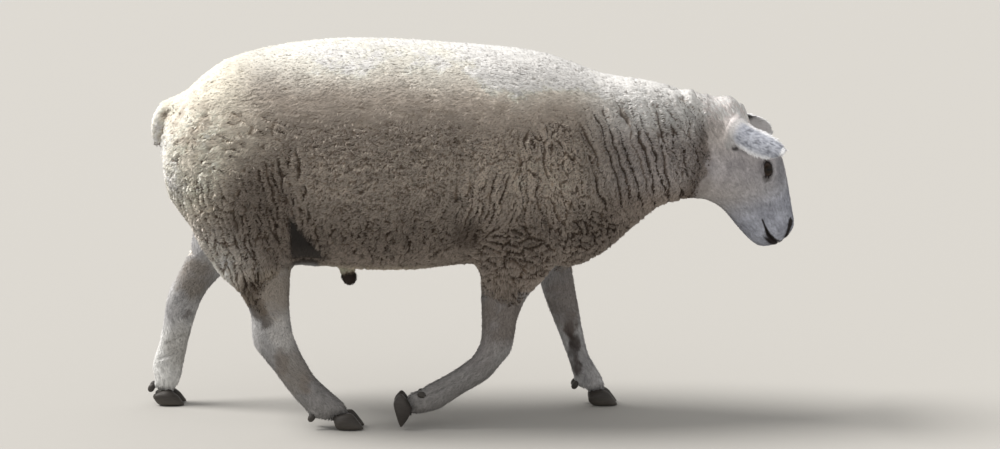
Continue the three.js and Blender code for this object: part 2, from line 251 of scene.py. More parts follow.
# The head and ears are split finer, and finer again round the eyes, nostrils and mouth.
eyes = {side: sum(np.array(c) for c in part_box(f"eye_{side}")) / 2 for side in ("right", "left")}
bm = bmesh.new()
bm.from_mesh(fine)
for lap in range(2):
    centres = np.array([f.calc_center_median() for f in bm.faces])
    s, t = in_head(centres)
    near = (s > 0.185) & (t < 0.06)
    for middle in eyes.values():
        near |= np.linalg.norm(centres - middle, axis=1) < 0.026
    near &= centres[:, 0] > FACE_X
    if lap == 0:
        near = centres[:, 0] > 0.455
    cut = {e for f, hit in zip(bm.faces, near) if hit for e in f.edges}
    bmesh.ops.subdivide_edges(bm, edges=list(cut), cuts=1, use_grid_fill=True)
bmesh.ops.triangulate(bm, faces=[f for f in bm.faces if len(f.verts) > 4])
fine = bpy.data.meshes.new("hide")
bm.to_mesh(fine)
bm.free()
points = points_of(fine).astype(float)
edges = edges_of(fine)
starts = numbers(fine.polygons, "loop_start", np.int32, 1)
sizes = numbers(fine.polygons, "loop_total", np.int32, 1)
loops = numbers(fine.loops, "vertex_index", np.int32, 1)
points = eased(points, edges, 0.45, 7)


def facing(p):
    """Outward direction at every point of the hide, and the area of every face."""
    a, b = p[loops[starts]], p[loops[starts + 1]]
    c, d = p[loops[starts + 2]], p[loops[starts + sizes - 1]]
    cross = np.where((sizes == 3)[:, None], np.cross(b - a, c - a), np.cross(c - a, d - b)) / 2
    face = np.repeat(np.arange(len(starts)), sizes)
    total = np.stack([np.bincount(loops, cross[face, k], len(p)) for k in range(3)], 1)
    return unit(total), np.linalg.norm(cross, axis=1)


# The middle line of each leg, up to the elbow or stifle, from the solids' own slices.
leg_lines = {}
for leg in LEGS:
    co = np.concatenate([points_of(nodes[f"{leg}_{part}"].data) for part in ("lower", "upper")])
    line = []
    for height in np.arange(0.03, 0.34, 0.02):
        here = co[np.abs(co[:, 2] - height) < 0.016]
        if len(here) > 3:
            line.append((height, here[:, 0].min() / 2 + here[:, 0].max() / 2))
    leg_lines[leg] = np.array(line).T


def by_leg(p, leg):
    """Whether each point is in the leg's quarter of the animal."""
    return ((p[:, 1] > 0) == leg.endswith("left")) & ((p[:, 0] < HIND_HALF) == leg.startswith("hind"))


def ahead_of_leg(p):
    """How far in front of its leg's middle line each point is."""
    middle = np.zeros(len(p))
    for leg, (height, x) in leg_lines.items():
        on = by_leg(p, leg)
        middle[on] = np.interp(p[on, 2], height, x)
    return p[:, 0] - middle


# Short hair takes over from the fleece behind the jaw, on each leg, at the bald fold of skin in
# front of the stifle and round the sheath. The jaw's edge is at these heights and lengths.
JAW_Z = [0.40, 0.435, 0.465, 0.490, 0.527, 0.585, 0.630, 0.660]
JAW_X = [0.425, 0.440, 0.446, 0.457, 0.465, 0.466, 0.468, 0.452]


def bare_share(p):
    """1 under short hair and 0 under the fleece."""
    x, y, z = p.T
    stray = ripple(p / 0.022, 3) * 0.006 + ripple(p / 0.007, 4) * 0.003
    face = ramp(x - np.interp(z, JAW_Z, JAW_X) + stray * 1.4, -0.010, 0.014)
    ahead = ahead_of_leg(p)
    near = np.clip(ahead, -0.06, 0.06)
    inner = ramp(np.abs(y), 0.112, 0.085)
    hind = (0.236 + np.minimum(2.1 * np.maximum(near + 0.004, 0), 0.095)
            + 1.1 * np.maximum(-near - 0.010, 0) + 0.12 * inner)
    fore = 0.257 + 0.3 * np.abs(near) + 0.03 * inner
    is_hind = x < HIND_HALF
    low, high = np.where(is_hind, -0.022, -0.014), np.where(is_hind, 0.024, 0.016)
    leg = ramp(np.where(is_hind, hind, fore) - z + stray * 2.0, low, high)
    leg *= ramp(np.abs(ahead), 0.118, 0.098)
    fold = ramp(x, -0.338, -0.328) * ramp(z, 0.322, 0.344) * ramp(np.abs(y), 0.09, 0.12)
    fold *= ramp(1 - (z - 0.3265) / 0.0985 - (x + 0.329) / 0.071 + stray * 12, -0.08, 0.10)
    sheath = ramp(np.linalg.norm(p - [-0.228, 0, 0.268], axis=1), 0.030, 0.022)
    return np.maximum.reduce([face, leg, fold, sheath])


normals, areas = facing(points)
bare = bare_share(points)
on_ear = (np.abs(points[:, 1]) > 0.070) & (points[:, 0] > EAR_X)
on_tail = ramp(points[:, 0], -0.575, -0.60) * ramp(points[:, 2], 0.50, 0.53)
depth = (HAIR_DEPTH + (WOOL_DEPTH - HAIR_DEPTH) * (1 - bare)) * (1 - 0.3 * on_tail)
depth[on_ear] = EAR_DEPTH
points = eased(points - normals * depth[:, None], edges, 0.3 * (1 - bare)[:, None], 3)


# ---- Face ----
# The hide of the face is drawn over the skull: lids round the eyes, a tear groove, a shallow
# valley inside each brow, slit nostrils, a cleft upper lip and the long line of the mouth.
EYE_RADIUS = 0.014
SLIT_BACK = 0.0150
SLIT_HALF = 0.0056
TEAR_END = 0.0225
SLIT = unit(0.92 * HEAD_DOWN - 0.39 * HEAD_FRONT)
MOUTH = np.array([  # s and t
    (0.188, -0.0195), (0.205, -0.0215), (0.222, -0.0235), (0.238, -0.0200),
    (0.250, -0.0130), (0.262, -0.0090), (0.285, -0.0070)])
NOSTRIL = np.array([  # s, t and how far out from the middle
    (0.2265, 0.0300, 0.0235), (0.2360, 0.0230, 0.0280), (0.2450, 0.0140, 0.0275), (0.2500, 0.0085, 0.0220)])
BROW_VALLEY = np.array([(0.088, 0.060), (0.115, 0.062), (0.145, 0.052)])
CHEEK_RIDGE = np.array([(0.128, 0.012), (0.165, 0.006), (0.190, 0.004)])
JAW_HOLLOW = np.array([(0.150, -0.030), (0.120, -0.075)])


def eye_frame(hand):
    """The way an eye looks, and the way across its slit towards the brow."""
    look = unit(np.array([0, hand, 0]) + 0.22 * HEAD_FRONT - 0.04 * HEAD_DOWN)
    look = unit(look - (look @ SLIT) * SLIT)
    brow = np.cross(look, SLIT) * -hand
    return look, brow


def off_line(p, line):
    """Distance of every point from a line of several stretches, and how far along it that is."""
    best, along, run = np.full(len(p), 9.0), np.zeros(len(p)), 0.0
    for a, b in zip(line[:-1], line[1:]):
        reach = np.linalg.norm(b - a)
        f = np.clip((p - a) @ (b - a) / reach**2, 0, 1)
        d = np.linalg.norm(p - a - f[:, None] * (b - a), axis=1)
        along = np.where(d < best, run + f * reach, along)
        best = np.minimum(best, d)
        run += reach
    return best, along / run


def on_eye(p, hand):
    """Along the slit, across it to the brow and outward, and the slit's half height there."""
    v = p - eyes["left" if hand > 0 else "right"]
    look, brow = eye_frame(hand)
    a, b, c = v @ SLIT, v @ brow, v @ look
    tear = ramp(a, 0.008, 0.016)
    half = SLIT_HALF * np.sqrt(np.clip(1 - (a / SLIT_BACK) ** 2, 0, 1))
    half = half + 0.0010 * tear * ramp(a, TEAR_END, 0.019)
    return a, b + 0.0016 * tear, c, half


# An ear's own measure, the same for both sides: along it, up across it, and out of its back.
EAR_AT = np.array([0.5526, 0.0939, 0.5648])
EAR_RUN = unit(np.array([0.751, 0.579, -0.317]))
EAR_UP = unit(np.array([0.487, -0.166, 0.857]))
EAR_BACK = np.cross(EAR_UP, EAR_RUN)
ear_shape = points_of(nodes["ear_left"].data) - EAR_AT
EAR_PLACES = np.linspace(-0.066, 0.069, 16)
near_place = [ear_shape[np.abs(ear_shape @ EAR_RUN - e) < 0.014] @ EAR_UP for e in EAR_PLACES]
EAR_TOP = np.array([w.max() for w in near_place])
EAR_FOOT = np.array([-w.min() for w in near_place])
ear_tops = {-1: EAR_TOP, 1: EAR_TOP}


def flip_of(p):
    """What turns each point's own side into the left one, and back."""
    return np.stack([np.ones(len(p)), np.sign(p[:, 1]), np.ones(len(p))], 1)


def in_ear(p, out):
    """Whether each point is on an ear, how far along it, how near its rim and how much it faces back."""
    flip = flip_of(p)
    q = p * flip - EAR_AT
    along, up = q @ EAR_RUN, q @ EAR_UP
    top = np.where(p[:, 1] < 0, *(np.interp(along, EAR_PLACES, ear_tops[hand]) for hand in (-1, 1)))
    rim = np.where(up > 0, up / top, -up / np.interp(along, EAR_PLACES, EAR_FOOT))
    on = (np.abs(q @ EAR_BACK) < 0.017) & (rim < 1.5) & (along > -0.062) & (p[:, 0] > EAR_X)
    return on, along, np.maximum(rim, ramp(along, 0.050, 0.069)), (out * flip) @ EAR_BACK


out, _ = facing(points)
s, t = in_head(points)
y = points[:, 1]
is_face = points[:, 0] > FACE_X
push = np.zeros(len(points))

profile = np.stack([s, t], 1)
gap, _ = off_line(profile, MOUTH)
begun = ramp(s, 0.186, 0.194) * is_face
begun = begun * (0.35 + 0.65 * ramp(s, 0.196, 0.225))
push += begun * (0.0013 * ramp(gap, 0.010, 0.004) - 0.0050 * ramp(gap, 0.0024, 0.0004))
gap, along = off_line(np.stack([s, t, np.abs(y)], 1), NOSTRIL)
flare = np.sin(np.pi * np.clip(along * 0.8 + 0.12, 0, 1))
push += is_face * (0.0022 * ramp(gap, 0.011, 0.005) - 0.0095 * ramp(gap, 0.0018 + 0.0030 * flare, 0.0006))
push -= (is_face * 0.0022 * ramp(np.abs(y), 0.0022, 0.0004) * ramp(s, 0.240, 0.250)
         * ramp(t, -0.010, -0.006) * ramp(t, 0.022, 0.016))
gap, _ = off_line(profile, BROW_VALLEY)
push -= is_face * 0.0026 * ramp(gap, 0.009, 0.001) * ramp(np.abs(y), 0.012, 0.024)
gap, along = off_line(profile, CHEEK_RIDGE)
push += is_face * 0.0022 * ramp(gap, 0.013, 0.002) * ramp(np.abs(y), 0.02, 0.03) * ramp(along, 1, 0.7)
gap, _ = off_line(profile, JAW_HOLLOW)
push -= is_face * 0.0022 * ramp(gap, 0.014, 0.002) * ramp(np.abs(y), 0.02, 0.03)
# The forehead falls back towards the poll.
push -= (0.0115 * is_face * ramp(t, 0.030, 0.056) * ramp(s, 0.105, 0.015) * ramp(s, -0.055, -0.030)
         * ramp(np.abs(y), 0.062, 0.048))
points = points + out * push[:, None]
# The crown runs level back into the neck, and the right ear is folded narrower than the left.
CROWN_X = [0.42, 0.44, 0.458, 0.475, 0.49, 0.50, 0.53, 0.5425, 0.556]
CROWN_LIFT = [0.0, 0.006, 0.001, 0.001, 0.0060, 0.0075, 0.0080, 0.008, 0.0]
EAR_CHANGE = {-1: -0.24, 1: 0.14}  # how much wider the upper half of each side's ear is
crown = np.interp(points[:, 0], CROWN_X, CROWN_LIFT)
crown = crown * ramp(np.abs(y), 0.060, 0.022) * ramp(out[:, 2], 0.0, 0.6)
points[:, 2] += crown * ramp(points[:, 2], 0.58, 0.60)
on, along, _, _ = in_ear(points, out)
flip = flip_of(points) * on[:, None]
up = ((points * flip - EAR_AT) @ EAR_UP) * on
widen = np.where(y < 0, EAR_CHANGE[-1], EAR_CHANGE[1]) * np.maximum(up, 0) * ramp(along, -0.050, -0.015)
points = points + widen[:, None] * EAR_UP * flip
for hand, change in EAR_CHANGE.items():
    ear_tops[hand] = EAR_TOP * (1 + change * ramp(EAR_PLACES, -0.050, -0.015))
for hand in (1, -1):
    look, brow = eye_frame(hand)
    a, b, c, half = on_eye(points, hand)
    middle = eyes["left" if hand > 0 else "right"]
    v = points - middle
    r = np.linalg.norm(v, axis=1)
    near = is_face & (c > 0.001) & (r < 0.034)
    edge = np.abs(b) - half
    past_corner = np.where(a > 0, a - TEAR_END, -a - SLIT_BACK)
    edge = np.where(np.abs(a) > SLIT_BACK, np.maximum(edge, past_corner), edge)
    lid = EYE_RADIUS + 0.0014 + 0.0011 * ramp(edge, 0.0, 0.0035) - 0.0016 * ramp(edge, 0.0035, 0.0075)
    covered = np.maximum(r, lid)
    crease = 0.0016 * ramp(np.abs(edge - 0.0085), 0.0025, 0.0) * (b > 0)
    opened = np.where(np.abs(a) < 0.0152, EYE_RADIUS - 0.0018, EYE_RADIUS - 0.0004)
    target = np.where(edge < 0, opened, covered - crease)
    target = r + (target - r) * ramp(r, 0.033, 0.026)
    points[near] = middle + v[near] / r[near, None] * target[near, None]
points = eased(points, edges, 0.25 * is_face[:, None], 1)


# ---- Legs ----
# The hide of the legs shows the tendon behind each shank and the cleft between the two toes, and
# swells out behind each foot to hold the dewclaws.
out, _ = facing(points)
x, y, z = points.T
ahead = ahead_of_leg(points)
low = ramp(z, 0.22, 0.17) * (np.abs(ahead) < 0.09) * (x < 0.36)
aside = np.abs(out[:, 1])
push = (-0.0022 * low * ramp(z, 0.055, 0.075) * ramp(np.abs(ahead + 0.006), 0.009, 0.002)
        * ramp(aside, 0.5, 0.9) * ramp(z, 0.20, 0.16))
toe = ramp(z, 0.058, 0.044) * (np.abs(ahead) < 0.09)
toe = np.maximum(toe, (y < 0) * ramp(x, -0.075, -0.095) * ramp(x, -0.19, -0.17) * ramp(z, 0.12, 0.09))
push -= 0.0045 * toe * ramp(np.abs(np.abs(y) - FOOT_Y), 0.007, 0.0005)
points = points + out * push[:, None]
for name in sorted(nodes):
    if "dewclaw" in name:
        middle = sum(np.array(c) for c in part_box(name)) / 2
        near = np.linalg.norm(points - middle, axis=1)
        points = points + (0.42 * ramp(near, 0.026, 0.010))[:, None] * (middle - points)


# ---- Cracks of the fleece ----
# The fleece divides into staples, the bunches that wool grows in, with cracks between them. The
# hide is furrowed under each crack, and under the seam between the tail and the rump.
CRACK_DEPTH = 0.0034
SEAM_DEPTH = 0.0030
SEAM_HALF = 0.0030
# Each zone of the body has its middle (x, z) and half sizes, the lean of its staples in degrees
# from upright, their width and length, the width of the cracks, how open the cracks across the
# staple are, and the share of the cracks that gape.
ZONES = [
    ((0.320, 0.530), (0.130, 0.140), 17, 0.0180, 0.280, 0.0042, 0.12, 1.15),
    ((0.415, 0.560), (0.045, 0.090), 27, 0.0140, 0.110, 0.0040, 0.40, 1.15),
    ((0.330, 0.690), (0.120, 0.050), 20, 0.0170, 0.050, 0.0018, 0.30, 0.55),
    ((0.180, 0.490), (0.085, 0.115), 6, 0.0100, 0.055, 0.0031, 0.55, 1.20),
    ((0.010, 0.455), (0.090, 0.100), -19, 0.0110, 0.075, 0.0032, 0.35, 1.10),
    ((0.085, 0.335), (0.090, 0.075), 78, 0.0105, 0.038, 0.0040, 0.70, 1.25),
    ((0.250, 0.375), (0.080, 0.070), 30, 0.0125, 0.030, 0.0046, 0.80, 1.30),
    ((-0.120, 0.505), (0.210, 0.110), 90, 0.0070, 0.016, 0.0021, 0.30, 0.95),
    ((-0.130, 0.390), (0.180, 0.060), -3, 0.0105, 0.026, 0.0030, 0.65, 1.00),
    ((-0.080, 0.300), (0.260, 0.040), 40, 0.0110, 0.014, 0.0024, 0.90, 0.80),
    ((-0.345, 0.475), (0.062, 0.115), 9, 0.0100, 0.095, 0.0034, 0.30, 1.15),
    ((-0.460, 0.385), (0.105, 0.140), 15, 0.0110, 0.055, 0.0033, 0.45, 1.15),
    ((-0.460, 0.570), (0.150, 0.080), 62, 0.0130, 0.030, 0.0024, 0.50, 0.65),
    ((-0.100, 0.690), (0.700, 0.090), 90, 0.0070, 0.018, 0.0010, 0.40, 0.30),
]


def two_nearest(q, salt):
    """How far off the nearest two of many scattered middles are, squared, with their places and numbers."""
    cell = np.floor(q)
    first, second = np.full((2, len(q)), 99.0)
    middle_1, middle_2 = np.zeros((2, *q.shape))
    number_1, number_2 = np.zeros((2, len(q)), np.uint64)
    for corner in itertools.product((-1, 0, 1), repeat=3):
        number = shuffled(cell + corner, salt)
        middle = cell + corner + 0.1 + 0.8 * thirds(number) / 1023.0
        far = ((q - middle) ** 2).sum(1)
        best, next_best = far < first, (far >= first) & (far < second)
        second = np.where(best, first, np.where(next_best, far, second))
        middle_2 = np.where(best[:, None], middle_1, np.where(next_best[:, None], middle, middle_2))
        number_2 = np.where(best, number_1, np.where(next_best, number, number_2))
        first = np.where(best, far, first)
        middle_1 = np.where(best[:, None], middle, middle_1)
        number_1 = np.where(best, number, number_1)
    return first, second, middle_1, middle_2, number_1, number_2


def staples(p, out):
    """The way to the nearest crack, how far off it is, its half width, and a number for each staple."""
    x, y, z = p.T
    wave = [ripple(p / 0.032, 11 + k) * 0.0065 + ripple(p / 0.012, 14 + k) * 0.0026 for k in range(3)]
    warped = np.stack([x, np.abs(y), z], 1) + np.stack(wave, 1)
    stray = ripple(p / 0.045, 18) * 0.10
    pull = np.stack([1 - ((x - mx) / rx) ** 2 - ((z - mz) / rz) ** 2 + stray * (k % 2)
                     for k, ((mx, mz), (rx, rz), *_) in enumerate(ZONES)])
    # Each point belongs to the zone that pulls most. Its cracks take their width from all the zones
    # by their pull, and are narrower towards the edges of the zone.
    zone = pull.argmax(0)
    top = np.sort(pull, 0)
    settled = 0.45 + 0.55 * ramp(top[-1] - top[-2], 0, 0.25)
    sway = np.exp((pull - top[-1]) / 0.22)
    sway /= sway.sum(0)
    crack, share = (np.array([row[c] for row in ZONES]) @ sway for c in (5, 7))
    crack = crack * (1 - 0.9 * ramp(x, -0.575, -0.60) * ramp(z, 0.47, 0.52))
    mirrored = np.stack([out[:, 0], np.abs(out[:, 1]), out[:, 2]], 1)
    gap, half, staple = np.zeros((3, len(p)))
    toward = np.zeros((len(p), 3))
    for k, (_, _, lean, wide, long, _, ends, _) in enumerate(ZONES):
        own = np.flatnonzero(zone == k)
        if not len(own):
            continue
        # A staple is the ground nearest to one middle, in a measure stretched along the lean, and a
        # crack runs halfway between two middles.
        lean = math.radians(lean)
        run = np.array([math.sin(lean), 0, -math.cos(lean)])
        axes = np.array([[math.cos(lean), 0, math.sin(lean)], run, [0, 1.0, 0]])
        axes = axes / np.array([wide, long, max(long, 0.024)])[:, None]
        first, second, middle_1, middle_2, number_1, number_2 = two_nearest(warped[own] @ axes.T, 51 + k)
        way = middle_2 - middle_1
        reach = np.linalg.norm(way, axis=1)
        slope = (way / reach[:, None]) @ axes
        slope -= (slope * mirrored[own]).sum(1, keepdims=True) * mirrored[own]
        steep = np.linalg.norm(slope, axis=1)
        gap[own] = (second - first) / (2 * reach) / np.maximum(steep, 12.0)
        slope = slope / np.maximum(steep, 1e-9)[:, None]
        crosswise = np.abs(slope @ run) ** 2
        chance = ((number_1 ^ number_2) & np.uint64(1023)) / 1023.0
        opened = ramp(chance, share[own], share[own] * 0.45) * (1 - crosswise * (1 - ends))
        half[own] = 0.5 * crack[own] * opened * settled[own]
        staple[own] = ((number_1 >> np.uint64(5)) & np.uint64(255)) / 255.0
        toward[own] = slope
    toward[:, 1] *= np.where(y < 0, -1.0, 1.0)
    return toward, gap, half, staple


skins = {}
for name in ("tail", "trunk"):
    co, flats = shell_of([name], 0.0)
    skins[name] = mathutils.bvhtree.BVHTree.FromPolygons(co.tolist(), flats.tolist())


def tail_seam(p):
    """1 in the deep seam where the dock lies against the rump."""
    seam = np.zeros(len(p))
    for k in np.flatnonzero((p[:, 0] < -0.54) & (p[:, 2] > 0.50) & (np.abs(p[:, 1]) < 0.08)):
        tail, trunk = (skins[name].find_nearest(p[k])[3] for name in ("tail", "trunk"))
        seam[k] = max(0, 1 - abs(tail - trunk) / SEAM_HALF) * max(0, 1 - max(0, tail - 0.010) / 0.008)
    return seam * ramp(p[:, 2], 0.622, 0.600)


normals, areas = facing(points)
_, gap, half, _ = staples(points, normals)
deep = (1 - bare) * ramp(gap, half + 0.0020, half * 0.3) * np.minimum(half / 0.0013, 1)
seam = tail_seam(points)
deep = np.maximum(deep, seam)
points = points - normals * (CRACK_DEPTH * deep + SEAM_DEPTH * seam)[:, None]
normals, areas = facing(points)


# ---- Markings ----
# The markings are the same on the hide and on the coat: cream along the back, greyer and
# browner down the sides, partly dirt that the wool holds and partly painted light along the
# back and painted shade down the sides; white hair on the face and legs. Painted shade also
# lies in the cracks, at the roots of the wool and hair, and in some hollows.
# Painted shade: the share of a colour left deep in a crack, and at the roots of the wool, deeper down the
# sides than along the back.
CRACK_PAINTED_SHADE = np.array([0.24, 0.20, 0.18])  # what is left of a colour deep in a crack
SIDE_ROOT_PAINTED_SHADE = (0.50, 0.455, 0.41)  # and at the roots of the wool, down the sides and on the back
BACK_ROOT_PAINTED_SHADE = (0.82, 0.79, 0.75)


def blend(a, b, share):
    """Colour a, with its share of colour b."""
    share = np.asarray(share)[..., None]
    return np.asarray(a) * (1 - share) + np.asarray(b) * share


def patch(p, middle, reach):
    """1 at the middle of a soft-edged patch and 0 outside it."""
    return ramp(np.linalg.norm((p - np.asarray(middle)) / np.asarray(reach), axis=1), 1.0, 0.4)


# Most of these marks are stains; a few are painted shade, as noted below.
STAINS_AND_PAINTED_SHADE = [  # middle, reach, colour and strength of each mark on the hair
    ((-0.418, -0.13, 0.256), (0.026, 0.06, 0.026), (0.10, 0.08, 0.065), 0.85),
    ((-0.400, -0.13, 0.236), (0.024, 0.06, 0.026), (0.075, 0.06, 0.05), 0.85),
    ((-0.384, -0.13, 0.216), (0.018, 0.06, 0.024), (0.09, 0.075, 0.065), 0.8),
    ((-0.380, -0.13, 0.290), (0.034, 0.06, 0.046), (0.13, 0.105, 0.085), 0.85),
    ((-0.352, -0.13, 0.190), (0.034, 0.06, 0.044), (0.62, 0.60, 0.58), 0.6),
    ((-0.355, -0.13, 0.135), (0.018, 0.06, 0.036), (0.20, 0.165, 0.14), 0.65),
    ((-0.310, -0.13, 0.095), (0.016, 0.06, 0.030), (0.24, 0.20, 0.175), 0.6),
    ((-0.560, 0.09, 0.188), (0.010, 0.04, 0.012), (0.10, 0.08, 0.07), 0.6),
    ((-0.545, 0.08, 0.265), (0.055, 0.05, 0.060), (0.24, 0.21, 0.18), 0.8),
    ((-0.575, 0.08, 0.120), (0.040, 0.05, 0.060), (0.42, 0.40, 0.37), 0.5),
    ((0.208, 0.09, 0.165), (0.016, 0.06, 0.040), (0.09, 0.065, 0.055), 0.9),
    ((0.214, 0.09, 0.125), (0.015, 0.06, 0.040), (0.06, 0.045, 0.04), 0.9),
    ((0.220, 0.09, 0.085), (0.013, 0.06, 0.030), (0.08, 0.06, 0.055), 0.85),
    ((0.200, 0.085, 0.225), (0.060, 0.06, 0.085), (0.24, 0.21, 0.195), 0.8),
    ((0.070, -0.12, 0.225), (0.080, 0.08, 0.085), (0.20, 0.172, 0.155), 0.9),
    ((0.020, -0.12, 0.160), (0.060, 0.08, 0.060), (0.28, 0.26, 0.255), 0.6),
    ((-0.330, -0.12, 0.120), (0.040, 0.06, 0.060), (0.30, 0.27, 0.24), 0.6),
    ((-0.365, -0.12, 0.290), (0.070, 0.09, 0.090), (0.36, 0.32, 0.28), 0.95),
    ((-0.226, 0.0, 0.292), (0.075, 0.06, 0.045), (0.36, 0.305, 0.255), 1.0),
]
for side in (-1, 1):
    STAINS_AND_PAINTED_SHADE += [
        ((0.455, side * 0.06, 0.465), (0.030, 0.05, 0.055), (0.26, 0.23, 0.21), 0.5),
        # Painted shade on the side of the forehead inside the brow, and under the root of the ear.
        ((0.611, side * 0.038, 0.497), (0.020, 0.032, 0.050), (0.26, 0.265, 0.30), 0.55),
        ((0.520, side * 0.055, 0.541), (0.010, 0.03, 0.006), (0.05, 0.045, 0.045), 0.9),
    ]


def wool_marks(p):
    """The colour of the fleece at each point, with painted light and shade in it."""
    x, _, z = p.T
    cloud = ripple(p / 0.11, 41)
    mottle = ripple(p / 0.028, 42)
    fleck = ripple(p / 0.006, 43)
    height = z + 0.02 * cloud
    # Darker down the sides and near white along the top: partly dirt held low in the wool, and partly painted
    # shade down the sides and painted light along the top.
    wool = blend((0.38, 0.32, 0.27), (0.67, 0.585, 0.50), ramp(height, 0.38, 0.50))
    wool = blend(wool, (0.58, 0.505, 0.435), ramp(height, 0.52, 0.60))
    wool = blend(wool, (0.92, 0.88, 0.79), ramp(height + 0.032 * ramp(x, 0.0, 0.12), 0.640, 0.722))
    wool = wool * (1 - 0.13 * ramp(x, -0.24, -0.40) * ramp(z, 0.63, 0.69))[:, None]
    # Paler along the belly's lower edge: partly its own cream and partly painted light where the edge lies in
    # shade.
    wool = blend(wool, (0.92, 0.79, 0.62), ramp(z, 0.33, 0.295) * ramp(x, 0.02, -0.02))
    wool = blend(wool, (0.87, 0.80, 0.68), patch(p, (-0.56, 0, 0.55), (0.26, 0.6, 0.22)))
    wool = blend(wool, (0.83, 0.77, 0.65), ramp(z, 0.60, 0.66) * ramp(x, -0.38, -0.47))
    wool = blend(wool, (0.42, 0.355, 0.30), patch(p, (-0.385, 0, 0.45), (0.11, 0.6, 0.14)) * 0.9)
    # Paler low on the thigh: partly its own cream and partly painted light where it lies in shade.
    wool = blend(wool, (0.92, 0.85, 0.77), patch(p, (-0.49, 0, 0.33), (0.13, 0.6, 0.11)) * 0.95)
    wool = blend(wool, (0.26, 0.21, 0.17), patch(p, (-0.395, 0, 0.265), (0.07, 0.6, 0.07)) * 0.9)
    # The neck too has painted light along its top and is darker below, partly painted shade.
    neck = blend((0.48, 0.40, 0.34), (0.66, 0.595, 0.56), ramp(z, 0.44, 0.50))
    neck = blend(neck, (0.93, 0.91, 0.88), ramp(height, 0.55, 0.615))
    wool = blend(wool, neck, ramp(x, 0.20, 0.34))
    # Painted shade on the neck's wool close behind the jaw.
    jaw = ramp(x - np.interp(z, JAW_Z, JAW_X), -0.040, -0.008) * ramp(z, 0.62, 0.56)
    wool = blend(wool, (0.24, 0.19, 0.155), jaw * 0.65)
    # Painted shade in the hollow behind the elbow.
    wool = blend(wool, (0.17, 0.135, 0.11), patch(p, (0.010, 0, 0.392), (0.046, 0.5, 0.048)) * 0.85)
    soiled = ramp(ripple(p / [0.030, 0.030, 0.016], 50), 0.0, 0.5) * ramp(z, 0.52, 0.56) * ramp(z, 0.66, 0.62)
    wool = blend(wool, (0.46, 0.39, 0.32), soiled * ramp(x, 0.16, 0.05) * 0.6)
    dock = ramp(x, -0.575, -0.60) * ramp(z, 0.47, 0.52)
    dock = np.maximum(dock, patch(p, (-0.60, 0, 0.46), (0.085, 0.6, 0.17)))
    wool = blend(wool, (0.93, 0.88, 0.78), dock * 0.95)
    behind_shoulder = ramp(x, -0.03, 0.05) * ramp(x, 0.26, 0.18)
    wool = wool * (1 + 0.22 * behind_shoulder + 0.08 * ramp(z, 0.42, 0.48))[:, None]
    wool = wool * (1 + 0.04 * ramp(z, 0.62, 0.56) * ramp(x, 0.26, 0.16) + 0.12 * ramp(z, 0.37, 0.33))[:, None]
    # Painted shade in fine wavy lines down the sides, between the waves of the wool.
    crimp_shade = ramp(np.abs(ripple(p / [0.0048, 0.0048, 0.011], 49)), 0.16, 0.03) * ramp(z, 0.64, 0.54)
    grain = (1 + 0.12 * mottle + 0.10 * cloud + 0.10 * fleck) * (1 - 0.38 * crimp_shade)
    return wool * [1, 1.03, 1.07] * grain[:, None]


def ear_marks(p, along, rim, back):
    """The ears are white at the rim, and dark skin shows in blotches through their thin hair; painted shade
    darkens the hollow inside the ear.
    """
    x, y, z = p.T
    leftward = np.stack([x, np.abs(y), z], 1)
    grown = np.stack([along / 0.0075, leftward @ EAR_UP / 0.0030, y / 0.02], 1)
    blotch = ramp(ripple(grown, 44) + 0.7 * ripple(p / 0.010, 45), -0.6, 0.9)
    ear = blend((0.50, 0.49, 0.49), (0.84, 0.85, 0.88), ramp(along, -0.045, -0.015))
    ear = blend(ear, (0.44, 0.46, 0.52), ramp(rim, 0.90, 0.60) * ramp(along, -0.050, -0.030))
    ear = blend(ear, (0.15, 0.16, 0.19), blotch * ramp(rim, 0.88, 0.55) * ramp(along, -0.050, -0.025) * 0.9)
    # Painted shade in the hollow at the root of the ear's inner side.
    hollow = patch(leftward, (0.553, 0.06, 0.594), (0.030, 0.06, 0.025))
    inside = blend((0.72, 0.71, 0.73), (0.03, 0.025, 0.025), hollow)
    return blend(ear, inside, ramp(back, 0.0, -0.3) * ramp(rim, 0.98, 0.80))


def bare_skin(p, s, t):
    """Where dark skin shows at the nostrils, lips and eyes, and the painted shade round the eyes."""
    y = p[:, 1]
    gap, _ = off_line(np.stack([s, t], 1), MOUTH)
    wide = 0.0012 + 0.0042 * ramp(s, 0.198, 0.230)
    below = np.interp(s, MOUTH[:, 0], MOUTH[:, 1]) - t
    mouth = ramp(gap, wide + 0.0016, wide * 0.6) * ramp(s, 0.187, 0.192)
    chin = ramp(below, 0.013, 0.009) * ramp(below, -0.005, -0.002) * ramp(s, 0.216, 0.232)
    gap, _ = off_line(np.stack([s, t, np.abs(y)], 1), NOSTRIL)
    nostril = ramp(gap, 0.0108, 0.0070)
    muzzle = ramp(s, 0.246, 0.252) * ramp(t, -0.014, -0.010) * ramp(t, 0.020, 0.014)
    muzzle = muzzle * ramp(np.abs(y), 0.026, 0.020)
    dark = np.maximum.reduce([mouth, chin, nostril, muzzle])
    shade = np.zeros(len(p))
    for hand in (1, -1):
        a, b, c, half = on_eye(p, hand)
        lid = ramp(np.abs(b) - half, 0.0042, 0.0018) * ramp(np.abs(a - 0.003), 0.0235, 0.0195) * (c > 0.004)
        dark = np.maximum(dark, lid)
        # Painted shade round the eye, under the brow and the ear.
        shade = np.maximum(shade, ramp(((a - 0.004) / 0.034) ** 2 + (b / 0.0125) ** 2, 1.0, 0.25) * (c > 0))
    return dark, shade


